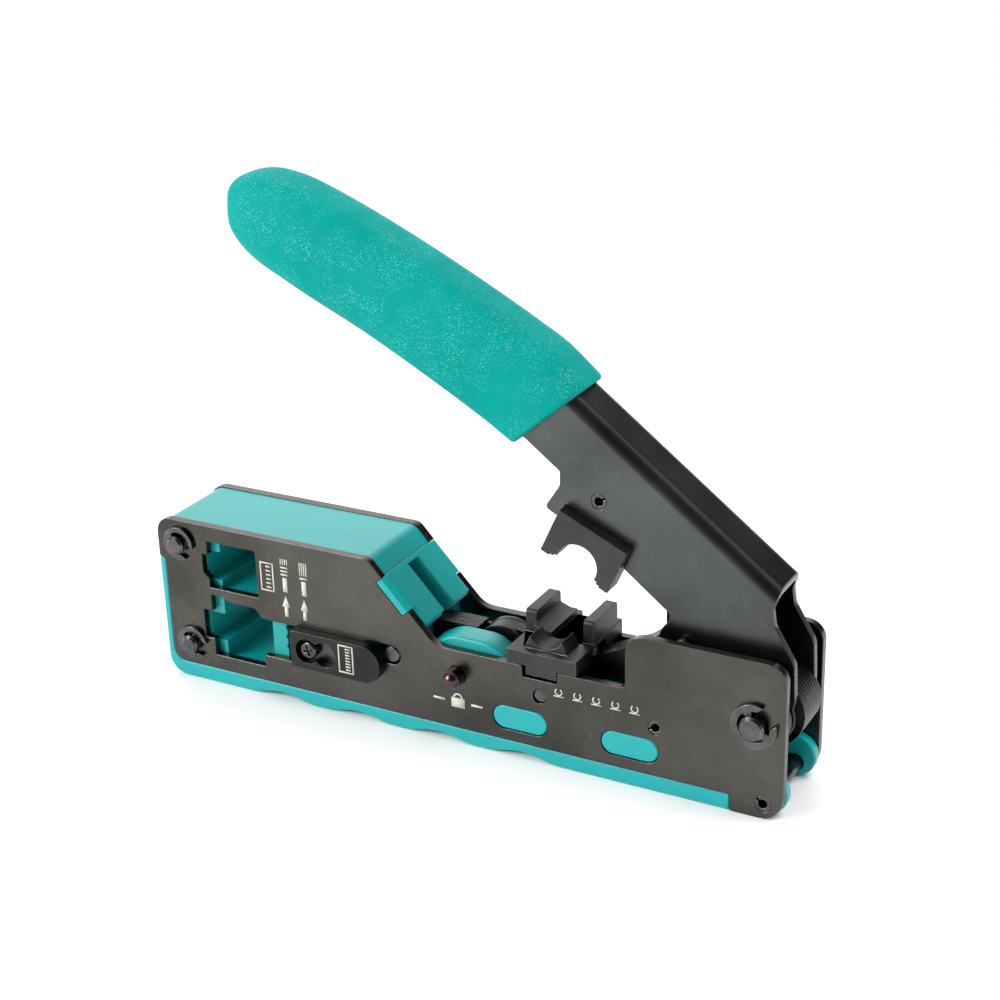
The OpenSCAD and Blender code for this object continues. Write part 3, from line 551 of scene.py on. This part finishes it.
def build_floor():
    """White sheet that fades into the white surround away from the tool."""
    n, size = 24, 3.0
    bm = bmesh.new()
    grid = [[bm.verts.new((size * (i / n - 0.5), size * (j / n - 0.5), FLOOR_Z))
             for j in range(n + 1)] for i in range(n + 1)]
    for i in range(n):
        for j in range(n):
            bm.faces.new((grid[i][j], grid[i + 1][j], grid[i + 1][j + 1], grid[i][j + 1]))
    mat, t = new_material("floor_white")
    tone = remap(t, noise(t, 6, 2.0), 0.3, 0.7, 0.0, 1.0)
    color = blend_color(t, tone, (0.90, 0.90, 0.895), (0.92, 0.92, 0.915))
    shader = add(t, "BsdfPrincipled", {"Base Color": color, "Roughness": 0.55,
                                       "Specular IOR Level": 0.2})
    away = add(t, "VectorMath", {0: add(t, "NewGeometry").outputs["Position"]},
               operation="LENGTH").outputs["Value"]
    fade = calc(t, "MULTIPLY", remap(t, away, 0.2, 0.5),
                add(t, "LightPath").outputs["Is Camera Ray"])
    glow = add(t, "Emission", {"Color": (1, 1, 1, 1), "Strength": 1.0}).outputs[0]
    mixed = add(t, "MixShader", {0: fade, 1: shader.outputs[0], 2: glow})
    finish_material(mat, t, mixed.outputs[0])
    obj = bpy.data.objects.new("floor", from_bmesh(bm, "floor"))
    bpy.context.scene.collection.objects.link(obj)
    obj.data.materials.append(mat)


def aim(direction_back, roll=0.0):
    """Rotation whose -Z looks against direction_back, turned by roll about the view axis."""
    back = Vector(direction_back).normalized()
    right = Vector((0, 0, 1)).cross(back).normalized()
    up = back.cross(right)
    c, s = math.cos(roll), math.sin(roll)
    cols = (c * right + s * up, -s * right + c * up, back)
    return Matrix([[col[i] for col in cols] for i in range(3)]).to_4x4()


def area(name, place, target, size, power):
    """A rectangular light; places are metres from the handle pivot."""
    data = bpy.data.lights.new(name, "AREA")
    data.shape = "RECTANGLE"
    data.size, data.size_y = size
    data.energy = power
    obj = bpy.data.objects.new(name, data)
    bpy.context.scene.collection.objects.link(obj)
    place, target = PIVOT + Vector(place), PIVOT + Vector(target)
    obj.matrix_world = Matrix.Translation(place) @ aim(place - target)
    return obj


# Direction, cosines of the inner and outer rims, and the gain inside the patch
WORLD_PATCHES = [
    ((0.42, -0.62, 0.66), 0.92, 0.55, 0.10),
    ((0.52, 0.78, 0.34), 0.96, 0.84, 0.05),
    ((-0.46, 0.80, 0.39), 0.95, 0.80, 2.0),
]


def build_world():
    """White surround seen by the camera; reflections also meet dark cards and a bright panel."""
    world = bpy.data.worlds.new("tent")
    bpy.context.scene.world = world
    world.use_nodes = True
    t = world.node_tree
    t.nodes.clear()
    ray = add(t, "TexCoord").outputs["Generated"]
    strength = 1.0
    for toward, inner, outer, gain in WORLD_PATCHES:
        near = add(t, "VectorMath", {0: ray, 1: Vector(toward).normalized()},
                   operation="DOT_PRODUCT").outputs["Value"]
        strength = calc(t, "MULTIPLY", strength, remap(t, near, outer, inner, 1.0, gain))
    seen = add(t, "LightPath").outputs["Is Camera Ray"]
    strength = calc(t, "MAXIMUM", strength, seen)
    light = add(t, "Background", {"Color": (1, 1, 1, 1), "Strength": strength})
    add(t, "OutputWorld", {"Surface": light.outputs[0]})


build_floor()
build_world()
area("key", (-0.60, -0.60, 0.42), (-0.05, 0, 0.03), (0.45, 0.45), 8.0)
fill = area("back_fill", (0.10, 0.80, 0.25), (-0.05, 0, 0.02), (0.8, 0.3), 2.5)
fill.visible_glossy = False
fill = area("top_fill", (0.36, 0.10, 0.70), (-0.03, 0, 0.04), (0.5, 0.5), 5.0)
fill.visible_glossy = False

CAMERA_AZ, CAMERA_EL, CAMERA_ROLL = (math.radians(a) for a in (28.88, 23.12, -1.67))
CAMERA_PLACE = PIVOT + Vector((0.107835, -0.301371, 0.175896))
camera_data = bpy.data.cameras.new("camera")
camera_data.sensor_width = 36.0
camera_data.lens = 69.4
camera_data.shift_x = 0.0044
camera_data.shift_y = 0.0058
camera_data.clip_start = 0.01
camera = bpy.data.objects.new("camera", camera_data)
bpy.context.scene.collection.objects.link(camera)
toward = (math.sin(CAMERA_AZ) * math.cos(CAMERA_EL), -math.cos(CAMERA_AZ) * math.cos(CAMERA_EL),
          math.sin(CAMERA_EL))
camera.matrix_world = Matrix.Translation(CAMERA_PLACE) @ aim(toward, CAMERA_ROLL)
bpy.context.scene.camera = camera
bpy.context.scene.view_settings.view_transform = "Standard"
